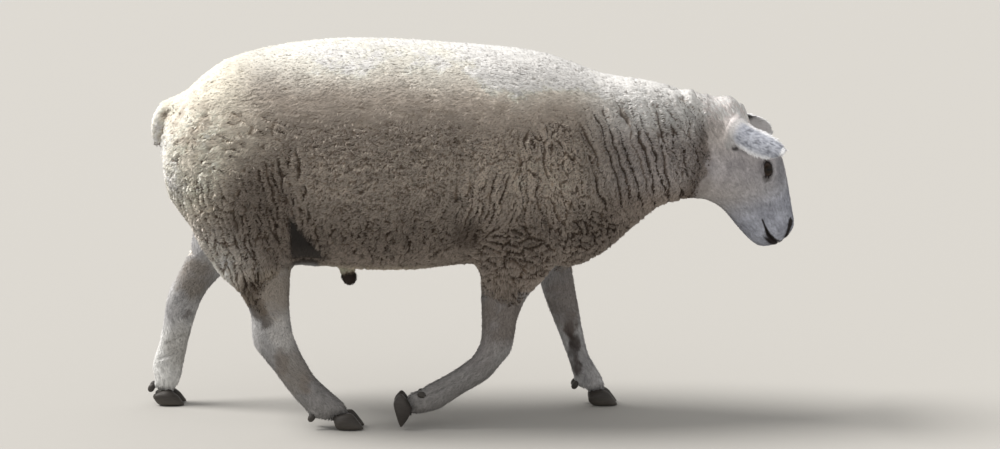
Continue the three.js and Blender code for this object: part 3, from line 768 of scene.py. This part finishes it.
def hair_marks(p, out):
    """The colour of the short hair, and of the skin that shows in it, at each point, with painted light and
    shade in places.
    """
    x, y, z = p.T
    s, t = in_head(p)
    mottle = ripple(p / 0.028, 42)
    fleck = ripple(p / 0.006, 43)
    hair = blend((0.40, 0.395, 0.405), (0.53, 0.525, 0.53), ramp(mottle, -0.5, 0.6))
    hair = blend(hair, (0.56, 0.54, 0.51), ramp(z, 0.50, 0.57) * ramp(x, 0.535, 0.49) * ramp(x, 0.42, 0.46))
    # Near white over the crown: partly its white hair and partly painted light where the sun falls on the
    # poll.
    crown = ramp(z, 0.560, 0.598) * ramp(x, 0.42, 0.46) * ramp(np.abs(y), 0.064, 0.048)
    hair = blend(hair, (0.93, 0.91, 0.88), crown)
    # Warmer and a little paler under the jaw: partly its own cream and partly painted light where it lies in
    # shade.
    hair = blend(hair, (0.50, 0.48, 0.455), ramp(z, 0.50, 0.44) * ramp(x, 0.42, 0.46) * ramp(s, 0.18, 0.12))
    hair = blend(hair, (0.70, 0.70, 0.69), ramp(z, 0.20, 0.12) * (x < -0.45))
    hair = blend(hair, (0.25, 0.24, 0.235), ramp(z, 0.20, 0.10) * ((x > -0.45) & (y < 0)) * 0.85)
    ahead_of_neck = x > 0.40
    down_face = ripple(np.stack([s / 0.014, t / 0.0038, y / 0.0038], 1), 46)
    streak = np.where(ahead_of_neck, down_face, ripple(p / [0.0038, 0.0038, 0.014], 47))
    # Painted light: the face is a little warmer towards the poll, which the sun reaches, and bluer towards
    # the muzzle, which lies in shade under the sky.
    face_light_cast = blend([1.05, 1.01, 1.03], [0.95, 1.0, 1.14], ramp(s, 0.07, 0.20))
    hair = hair * blend([1.01, 1.01, 1.01], face_light_cast, ahead_of_neck)
    hair = hair * (1 + 0.12 * fleck + 0.24 * streak + 0.10 * ripple(p / 0.012, 48))[:, None]
    rough_edge = 1 + 0.35 * mottle + 0.35 * fleck
    swayed = p + np.stack([0.009 * ripple(p / 0.016, 71), 0 * x, 0.009 * ripple(p / 0.016, 72)], 1)
    for middle, reach, colour, strength in STAINS_AND_PAINTED_SHADE:
        mark = patch(swayed if middle[0] < 0.4 else p, middle, reach)
        hair = blend(hair, colour, np.clip(mark * rough_edge, 0, 1) * strength)
    ear, along, rim, back = in_ear(p, out)
    hair = blend(hair, ear_marks(p, along, rim, back), ear * ramp(along, -0.062, -0.050))
    fold = ramp(np.abs(x + 0.295), 0.075, 0.060) * ramp(z, 0.312, 0.330)
    fold = fold * ramp(np.abs(ahead_of_leg(p)), 0.035, 0.060)
    skin = blend((0.058, 0.049, 0.044), (0.024, 0.020, 0.018), ramp(z, 0.325, 0.375))
    hair = blend(hair, skin * (1 + 0.25 * mottle)[:, None], fold)
    sheath = ramp(np.linalg.norm(p - [-0.226, 0, 0.268], axis=1), 0.034, 0.026)
    hair = blend(hair, (0.038, 0.026, 0.022), sheath)
    dark, shade = bare_skin(p, s, t)
    # Painted shade round the eyes.
    hair = blend(hair, (0.13, 0.12, 0.12), shade * (x > FACE_X) * 0.8)
    return blend(hair, (0.022, 0.017, 0.017), dark * (x > FACE_X))


def marks(p, bare, out):
    """The colour at each point, given its share of short hair and the way it faces."""
    return np.clip(blend(wool_marks(p), hair_marks(p, out), bare), 0.01, 0.93)


tone = marks(points, bare, normals)
# Painted shade on the hide: darker in the cracks and the seam beside the tail, less so along the lit top, and
# darker all over under the fleece, most down the sides.
light = ramp(points[:, 2], 0.56, 0.70)
tone = blend(tone, tone * [0.18, 0.155, 0.14], np.clip(deep, 0, 1) * (1 - 0.5 * light))
tone = blend(tone, tone * blend(SIDE_ROOT_PAINTED_SHADE, BACK_ROOT_PAINTED_SHADE, light), (1 - bare))


# ---- Paint of the hide ----
# The paint of the hide, the coat and the eyes takes its markings from the mesh, where they are
# kept as an attribute of the points, and adds a fine grain. The hide's grain stands up a little.
class Socket:
    """A shader value that can be used in plain sums."""

    def __init__(self, tree, link):
        self.tree, self.link = tree, link

    def maths(self, operation, other):
        """A Math node on this value and another."""
        return node(self.tree, "ShaderNodeMath", {"operation": operation}, {0: self, 1: other})

    def __add__(self, other):
        return self.maths("ADD", other)

    def __mul__(self, other):
        return self.maths("MULTIPLY", other)

    __radd__ = __add__
    __rmul__ = __mul__


def node(tree, kind, settings, inputs, out=0):
    """One node of the given type, and its output of the given number."""
    made = tree.nodes.new(kind)
    for key, value in settings.items():
        setattr(made, key, value)
    for key, value in inputs.items():
        if isinstance(value, Socket):
            tree.links.new(value.link, made.inputs[key])
        else:
            made.inputs[key].default_value = value
    return Socket(tree, made.outputs[out])


def material(name, roughness, **constants):
    """A plain finish: the material, its tree of nodes and its shader."""
    made = bpy.data.materials.new(name)
    made.use_nodes = True
    shader = made.node_tree.nodes["Principled BSDF"]
    shader.inputs["Roughness"].default_value = roughness
    for key, value in constants.items():
        shader.inputs[key.replace("_", " ")].default_value = value
    return made, made.node_tree, shader


def mixed(tree, a, b, factor, how="MIX"):
    """Two colours mixed by a factor."""
    kind = {"data_type": "RGBA", "blend_type": how}
    return node(tree, "ShaderNodeMix", kind, {0: factor, 6: a, 7: b}, out=2)


def feed(tree, shader, **links):
    """Links values to the shader's sockets of the same names."""
    for key, value in links.items():
        tree.links.new(value.link, shader.inputs[key.replace("_", " ")])


def bumped(tree, height, distance, strength):
    """A surface that rises and falls a little with the height."""
    return node(tree, "ShaderNodeBump", {}, {"Strength": strength, "Distance": distance, "Height": height})


def marked(name, roughness, shadow, amount, scale, detail=2.0, **constants):
    """A finish in the mesh's own markings, with a fine grain of a darker tone."""
    made, tree, shader = material(name, roughness, **constants)
    where = node(tree, "ShaderNodeTexCoord", {}, {}, out=3)
    grain = node(tree, "ShaderNodeTexNoise", {}, {"Vector": where, "Scale": scale, "Detail": detail})
    own = node(tree, "ShaderNodeVertexColor", {"layer_name": "marks"}, {})
    feed(tree, shader, Base_Color=mixed(tree, own, (*shadow, 1), grain * amount, "MULTIPLY"))
    return made, tree, shader, grain


def tint(mesh, colours):
    """Keeps a colour for each point of the mesh."""
    layer = mesh.color_attributes.new("marks", "FLOAT_COLOR", "POINT")
    rgba = np.ones((len(colours), 4), np.float32)
    rgba[:, :3] = colours
    layer.data.foreach_set("color", rgba.ravel())


fine.polygons.foreach_set("use_smooth", np.ones(len(fine.polygons), bool))
reshape(fine, points)
tint(fine, tone)
hide = placed("hide", fine)
paint, tree, shader, grain = marked("hide", 0.75, (0.5, 0.48, 0.45), 0.16, 420.0, 3.0,
                                    Specular_IOR_Level=0.25)
feed(tree, shader, Normal=bumped(tree, grain, 0.0012, 0.6))
fine.materials.append(paint)
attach(hide, "root")
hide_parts(*BODY, *EARS, "sheath")


# ---- Fleece ----
# Dense wool about four centimetres deep, of which the outer centimetre shows as thin locks.
# Each lock is a keeled blade that rises from the hide and curls over along the body.
LOCK_WIDTH = 0.0027
LOCK_SPACING = 0.0019
LOCK_CORNERS = np.array([1, 0, 2, 0, 3, 2, 1, 2, 3])  # of the points: two at the root, the keel's and the tip
LOCK_PATCH = np.array([[-1, -1], [1, -1], [0, 1 / 3], [0, 1]])
PATCH_HALF = 0.0015
ROOT_DEPTH = 0.0006
LOCK_LENGTH = 0.0095  # down the sides, and the locks of the back are longer by the second
BACK_LONGER = 0.0020
BARREL_Z = 0.49
FLEECE_CUTS = [(-1, -0.40), (-0.40, -0.16), (-0.16, 0.06), (0.06, 0.27), (0.27, 1)]
rng = np.random.default_rng(7)
face_bare = bare[loops[starts]]
face_middle = points[loops[starts]]


def sown(faces, spacing, salt):
    """Roots spread evenly over the given faces: their places and outward directions."""
    chance = np.random.default_rng(salt)
    total = np.cumsum(areas[faces] / (spacing[faces] ** 2))
    count = int(total[-1])
    ticks = np.arange(count) + chance.random(count)
    picked = faces[np.minimum(np.searchsorted(total, ticks), len(faces) - 1)]
    u, v = chance.random((2, count, 1))
    corner = [loops[starts[picked] + k] for k in (0, 1, 2)] + [loops[starts[picked] + sizes[picked] - 1]]
    weight = [(1 - u) * (1 - v), u * (1 - v), u * v, (1 - u) * v]
    at = sum(w * points[c] for w, c in zip(weight, corner))
    out = unit(sum(w * normals[c] for w, c in zip(weight, corner)))
    return at, out


def tangent(direction, out):
    """The part of each direction that lies along the hide."""
    return unit(direction - (direction * out).sum(1, keepdims=True) * out)


def round_body(p):
    """How far round the barrel of the body each point is, from the belly up either side."""
    return np.arctan2(np.abs(p[:, 1]), BARREL_Z - p[:, 2])


def planted(name, own, locks, chart, finish):
    """One mesh of its own share of the locks, each of three faces and with a patch of the bake map."""
    at, out, lie, length, width, lift, curl, root_tone, tip_tone = (v[own] for v in locks)
    chart = chart[own]
    length, width, lift, curl = (v[:, None] for v in (length, width, lift, curl))
    half_side = np.cross(out, lie) * width / 2
    rise = lie * np.cos(lift) + out * np.sin(lift)
    fall = lie * np.cos(lift - curl) + out * np.sin(lift - curl)
    mid = at + rise * length * 0.5
    base = at - out * ROOT_DEPTH
    verts = np.stack([base - half_side, base + half_side, mid, mid + fall * length * 0.5], 1)
    corners = np.arange(len(at))[:, None] * 4 + LOCK_CORNERS
    mesh = mesh_of(name, verts.reshape(-1, 3), corners.reshape(-1, 3))
    mid_tone = root_tone * 0.35 + tip_tone * 0.65
    tint(mesh, np.stack([root_tone, root_tone, mid_tone, tip_tone], 1).reshape(-1, 3))
    low, high = chart.min(0), chart.max(0)
    spot = PATCH_HALF + (chart - low) / (high - low) * (1 - 2 * PATCH_HALF)
    uv = (spot[:, None] + PATCH_HALF * LOCK_PATCH)[:, LOCK_CORNERS]
    layer = mesh.uv_layers.new(name="OFBake")
    layer.data.foreach_set("uv", uv.astype(np.float32).ravel())
    mesh.materials.append(finish)
    piece = placed(name, mesh)
    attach(piece, "root")


wool_paint, *_ = marked("wool", 0.85, (0.55, 0.52, 0.48), 0.2, 900.0, Specular_IOR_Level=0.15)
spacing = np.full(len(starts), LOCK_SPACING)
at, out = sown(np.flatnonzero(face_bare < 0.75), spacing, 5)
own_bare = bare_share(at)
toward, gap, half, staple = staples(at, out)
# No wool grows from the floor of a crack, and the locks on its brink lean away from it.
seam = tail_seam(at)
kept = ((gap > half * 0.75) | (own_bare > 0.5)) & (seam < 0.90)
at, out, own_bare, toward = (v[kept] for v in (at, out, own_bare, toward))
gap, half, staple, seam = (v[kept] for v in (gap, half, staple, seam))
n = len(at)
x, y, z = at.T
early = 0.04 * ramp(x, 0.2, 0.3) + 0.08 * ramp(x, -0.32, -0.46)
smooth = ramp(z, 0.56 - early, 0.66 - early)
brink = ramp(gap, half + 0.0065, half) * np.minimum(half / 0.0010, 1) * (1 - own_bare)
lie = np.stack([-np.ones(n), 0 * x, -0.5 + 0 * x], 1)
lie = tangent(lie + (0.55 - 0.22 * smooth[:, None]) * rng.normal(size=(n, 3)), out)
own_way = staple * math.tau * 2
lie += (0.35 - 0.15 * smooth[:, None]) * np.stack([np.cos(own_way), 0 * x, np.sin(own_way)], 1)
lie = tangent(lie, out)
leg_wool = ramp(z, 0.36, 0.30)[:, None]
lie = tangent(lie * (1 - leg_wool * 0.8) + leg_wool * [-0.1, 0, -1.2], out)
lie = tangent(lie * (1 - brink)[:, None] - toward * (brink * 1.5)[:, None], out)
lift = np.radians((62 - 38 * smooth + 14 * brink + 8 * rng.normal(size=n)) * (1 - 0.55 * own_bare))
curl = np.radians((55 - 25 * smooth) * (1 - 0.5 * own_bare))
length = (LOCK_LENGTH + BACK_LONGER * smooth) * rng.uniform(0.75, 1.2, n)
length = length * (1 - 0.25 * brink) * (1 - 0.65 * own_bare)
lightness = rng.uniform(0.88, 1.10, n) + 0.16 * (staple - 0.5) * (1 - own_bare)
tip = marks(at, own_bare, out) * lightness[:, None]
# Painted shade on the locks at the brink of a crack and in the seam beside the tail.
tip = blend(tip, tip * CRACK_PAINTED_SHADE, ramp(gap, half + 0.0015, half * 0.8) * np.minimum(half / 0.0011, 1))
tip = blend(tip, tip * CRACK_PAINTED_SHADE, seam * 0.7)
# The roots of the locks carry painted shade, deeper down the sides than along the back.
root = tip * blend(SIDE_ROOT_PAINTED_SHADE, BACK_ROOT_PAINTED_SHADE, smooth)
locks = (at, out, lie, length, np.full(n, LOCK_WIDTH), lift, curl, root, tip)
chart = np.stack([x, round_body(at)], 1)
for side in ("right", "left"):
    for k, (low, high) in enumerate(FLEECE_CUTS):
        own = (x >= low) & (x < high) & ((y < 0) == (side == "right"))
        planted(f"fleece_{side}_{k + 1}", own, locks, chart, wool_paint)


# ---- Hooves ----
# Each foot has two claws of black horn and two dewclaws behind them. The horn shows fine rings
# of growth, and is dulled by dust and scuffed grey near the ground.
CLAW_ROUNDS = [(0.0030, 20), (0.0016, 4)]  # voxel size and times eased, one after the other
DEWCLAW_ROUNDS = [(0.0012, 14), (0.0008, 4)]
horn_paint, tree, shader = material("horn", 0.5, Specular_IOR_Level=0.45)
where = node(tree, "ShaderNodeTexCoord", {}, {}, out=3)
stretched = node(tree, "ShaderNodeMapping", {}, {"Vector": where, "Scale": (60.0, 60.0, 420.0)})
rings = node(tree, "ShaderNodeTexNoise", {}, {"Vector": stretched, "Scale": 1.0, "Detail": 3.0})
dust = node(tree, "ShaderNodeTexNoise", {}, {"Vector": where, "Scale": 90.0, "Detail": 4.0})
height = node(tree, "ShaderNodeSeparateXYZ", {}, {"Vector": where}, out=2)
low = node(tree, "ShaderNodeMapRange", {}, {0: height, 1: 0.022, 2: 0.0, 3: 0.0, 4: 1.0})
colour = mixed(tree, (0.017, 0.014, 0.013, 1), (0.055, 0.047, 0.040, 1), rings)
feed(tree, shader, Base_Color=mixed(tree, colour, (0.13, 0.115, 0.095, 1), low * dust * 0.7),
     Roughness=0.42 + dust * 0.3, Normal=bumped(tree, rings + dust * 0.3, 0.0010, 0.8))
horn_points = []
for name in sorted(nodes):
    if "claw" in name:
        co, corners = shell_of([name], 0.0)
        small = "dewclaw" in name
        horn = mesh_of(name + "_horn", co, corners)
        leg_near = points[np.linalg.norm(points - co.mean(0), axis=1) < 0.045]
        for voxel, laps in DEWCLAW_ROUNDS if small else CLAW_ROUNDS:
            horn = remeshed(horn, voxel)
            co = eased(points_of(horn).astype(float), edges_of(horn), 0.6, laps)
            reshape(horn, co)
        if not small:
            # The horn narrows into the coronet, under the hair.
            heart = co.mean(0)
            up = unit(leg_near.mean(0) - heart)
            height = (co - heart) @ up
            taper = (0.34 * ramp(height, 0.0, height.max()))[:, None]
            co = co - taper * (co - heart - height[:, None] * up)
            reshape(horn, co)
            horn_points.append(co)
        horn.polygons.foreach_set("use_smooth", np.ones(len(horn.polygons), bool))
        horn.materials.append(horn_paint)
        piece = placed(name + "_horn", horn)
        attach(piece, "root")
        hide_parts(name)


# ---- Short hair ----
# White hair a few millimetres long lies flat on the face, ears and legs. It runs from the lips
# up to the poll, out along the ears and down the legs, and hangs a little over the coronets.
FACE_SPACING, FACE_LENGTH, FACE_WIDTH = 0.0019, 0.0045, 0.0011
LEG_SPACING, LEG_LENGTH, LEG_WIDTH = 0.0024, 0.0062, 0.0015
hair_paint, *_ = marked("hair", 0.7, (0.6, 0.58, 0.55), 0.2, 700.0, Specular_IOR_Level=0.3)
spacing = np.where(face_middle[:, 0] > 0.45, FACE_SPACING, LEG_SPACING)
at, out = sown(np.flatnonzero(face_bare > 0.3), spacing, 6)
x, y, z = at.T
bald = np.zeros(len(at), bool)
for hand in (1, -1):
    a, b, c, half = on_eye(at, hand)
    bald |= (np.abs(b) < half + 0.0012) & (a > -0.0155) & (a < 0.0230) & (c > 0)
s, t = in_head(at)
gap, _ = off_line(np.stack([s, t, np.abs(y)], 1), NOSTRIL)
lips, _ = off_line(np.stack([s, t], 1), MOUTH)
bald |= (x > FACE_X) & ((gap < 0.0050) | (lips < 0.0022))
at, out = at[~bald], out[~bald]
n = len(at)
x, y, z = at.T
s, t = in_head(at)
ear, along, rim, back = in_ear(at, out)
head = (x > 0.36) & ~ear
leg = ~head & ~ear & (z < 0.36) & (np.abs(ahead_of_leg(at)) < 0.09)
flip = flip_of(at)
own_ear = at * flip - EAR_AT
lie = np.tile([-0.3, 0.0, -1.0], (n, 1))
lie[head] = -HEAD_DOWN - 0.35 * ramp(t[head], 0.02, -0.06)[:, None] * HEAD_FRONT
up = np.sign(own_ear @ EAR_UP)
lie[ear] = ((EAR_RUN + EAR_UP * (up * ramp(rim, 0.5, 1.0) * 0.9)[:, None]) * flip)[ear]
for name, (line_z, line_x) in leg_lines.items():
    on = leg & by_leg(at, name)
    slope = np.interp(z[on], line_z, np.gradient(line_x, line_z))
    lie[on] = np.stack([-slope, 0 * slope, -1 + 0 * slope], 1)
lie = tangent(unit(lie) + 0.22 * rng.normal(size=(n, 3)), out)
coronet = np.zeros(n)
for horn in horn_points:
    tree_of = mathutils.kdtree.KDTree(len(horn))
    for k, co in enumerate(horn):
        tree_of.insert(co, k)
    tree_of.balance()
    heart = horn.mean(0)
    for k in np.flatnonzero(leg & (np.linalg.norm(at - heart, axis=1) < 0.06)):
        near = 1 - min(1, max(0, tree_of.find(at[k])[2] - 0.003) / 0.010)
        if near > coronet[k]:
            coronet[k] = near
            lie[k] = unit(lie[k]) + 1.5 * near * unit(heart - at[k])
lie = tangent(lie, out)
poll = head * ramp(s, 0.015, -0.03) * ramp(t, -0.045, -0.02) * ramp(t, 0.060, 0.040)
fringe = ear * ramp(rim, 0.72, 0.95) * ramp(np.abs(back), 0.9, 0.5)
length = np.where(head | ear, FACE_LENGTH, LEG_LENGTH) * rng.uniform(0.7, 1.25, n)
dip = head * ramp(np.abs(x - 0.483), 0.028, 0.008) * ramp(z, 0.585, 0.605)
length = length * (1 + 1.6 * coronet + 1.2 * poll + 0.4 * dip + 0.9 * fringe)
width = np.where(head | ear, FACE_WIDTH, LEG_WIDTH) * (1 + 0.8 * poll)
lift = np.radians(np.where(head | ear, 19, 22) + 8 * poll + 6 * dip + 26 * coronet + 6 * rng.normal(size=n))
curl = np.radians(14 + 30 * coronet)
tip = marks(at, np.ones(n), out) * rng.uniform(0.74, 1.24, (n, 1))
tip = blend(tip, (0.88, 0.88, 0.90), fringe * 0.8)
# The roots of the hairs carry painted shade, less where the hair is pale.
root = tip * (0.7 + 0.22 * ramp(tip.mean(1), 0.45, 0.75))[:, None]

ear_chart = np.stack([own_ear @ EAR_RUN, own_ear @ EAR_UP + (back > 0) * 0.07], 1)
flank_chart = np.stack([x, round_body(at)], 1)
leg_chart = np.stack([np.arctan2(np.abs(y) - FOOT_Y, ahead_of_leg(at)), z], 1)
groups = {"hair_head": (head, np.stack([s, np.arctan2(y, t + 0.015)], 1))}
for side, sign in (("left", 1), ("right", -1)):
    groups[f"hair_ear_{side}"] = (ear & (y * sign > 0), ear_chart)
    groups[f"hair_flank_{side}"] = (~head & ~ear & ~leg & (y * sign > 0), flank_chart)
for name in LEGS:
    groups[f"hair_{name}"] = (leg & by_leg(at, name), leg_chart)
locks = (at, out, lie, length, width, lift, curl, root, tip)
for name, (own, chart) in groups.items():
    planted(name, own, locks, chart, hair_paint)


# ---- Eyes ----
# A brown eye so dark that it looks nearly black, with the wide level pupil of a grazing animal and
# a bulging, glossy cornea. The ball sits in its lids, which the hide forms.
AROUND = 72
eye_paint, *_ = marked("eye", 0.3, (0.5, 0.35, 0.2), 0.5, 1500.0,
                       Specular_IOR_Level=0.1, Coat_Weight=0.2, Coat_Roughness=0.02)
theta = np.concatenate([np.linspace(0.01, 0.75, 44), np.linspace(0.80, math.pi - 0.01, 22)])
phi = np.arange(AROUND) * math.tau / AROUND
for name, hand in (("right", -1), ("left", 1)):
    look, brow = eye_frame(hand)
    th, ph = np.meshgrid(theta, phi, indexing="ij")
    th, ph = th.ravel(), ph.ravel()
    bulge = 1 + 0.055 * ramp(th, 0.66, 0.25)
    a, b = np.sin(th) * np.cos(ph), np.sin(th) * np.sin(ph)
    way = np.cos(th)[:, None] * look + a[:, None] * SLIT + b[:, None] * brow
    ball = eyes[name] + (EYE_RADIUS - 0.0002) * bulge[:, None] * way
    ring = np.hypot(a, b) * EYE_RADIUS
    rays = ripple(np.stack([ph * 9, ring * 300, ph * 0], 1), 61)
    colour = blend((0.011, 0.008, 0.006), (0.024, 0.016, 0.011), ramp(rays, -0.4, 0.5))
    colour = blend(colour, (0.03, 0.018, 0.011), ramp(ring, 0.0068, 0.0080))
    colour = blend(colour, (0.05, 0.035, 0.03), ramp(ring, 0.0084, 0.0094))
    level = unit(np.array([1.0, 0, 0]) - look[0] * look)
    c1, c2 = a * (level @ SLIT) + b * (level @ brow), b * (level @ SLIT) - a * (level @ brow)
    pupil = (np.abs(c1 * EYE_RADIUS) / 0.0042) ** 3 + (np.abs(c2 * EYE_RADIUS) / 0.0019) ** 3
    colour = blend(colour, (0.004, 0.004, 0.006), ramp(pupil, 1.25, 0.85) * (th < 1))
    here = np.arange(AROUND)
    beside = (here + 1) % AROUND
    strip = np.stack([here, beside, AROUND + beside, AROUND + here], 1)
    quads = np.concatenate([strip + row * AROUND for row in range(len(theta) - 1)])
    if hand < 0:
        quads = quads[:, ::-1]
    mesh = mesh_of(f"eyeball_{name}", ball, quads)
    bm = bmesh.new()
    bm.from_mesh(mesh)
    bmesh.ops.holes_fill(bm, edges=[e for e in bm.edges if e.is_boundary], sides=80)
    bmesh.ops.recalc_face_normals(bm, faces=bm.faces)
    bm.to_mesh(mesh)
    bm.free()
    tint(mesh, colour)
    mesh.materials.append(eye_paint)
    piece = placed(f"eyeball_{name}", mesh)
    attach(piece, "root")
    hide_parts(f"eye_{name}")


# ---- Floor and lamps ----
# A plain pale floor, with one broad lamp overhead and a little behind, and an even pale surround.
floor_mesh = bpy.data.meshes.new("floor")
floor_mesh.from_pydata([(-30, -30, 0), (30, -30, 0), (30, 30, 0), (-30, 30, 0)], [], [(0, 1, 2, 3)])
floor = placed("floor", floor_mesh)
floor_paint, *_ = material("floor", 0.9, Base_Color=(0.40, 0.39, 0.37, 1))
floor_mesh.materials.append(floor_paint)
floor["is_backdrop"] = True

SURROUND = 0.66
SURROUND_SEEN = 0.08  # more than that to the camera, in reflections and through what is clear
world = bpy.data.worlds.new("surround")
world.use_nodes = True
tree = world.node_tree
seen, shiny, clear = (node(tree, "ShaderNodeLightPath", {}, {}, out) for out in (0, 3, 6))
behind = seen.maths("MAXIMUM", shiny).maths("MAXIMUM", clear)
tree.nodes["Background"].inputs["Color"].default_value = (1, 0.985, 0.96, 1)
tree.links.new((SURROUND + behind * SURROUND_SEEN).link, tree.nodes["Background"].inputs["Strength"])
bpy.context.scene.world = world

sun = placed("overhead", bpy.data.lights.new("overhead", "SUN"))
sun.data.energy = 4.2
sun.data.angle = math.radians(28)
sun.data.color = (1, 0.975, 0.94)
way = unit(np.array([0.60, -0.04, -0.80]))
sun.rotation_euler = (math.acos(-way[2]), 0, math.atan2(-way[0], way[1]))

bpy.context.scene.view_settings.view_transform = "Standard"
low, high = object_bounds()
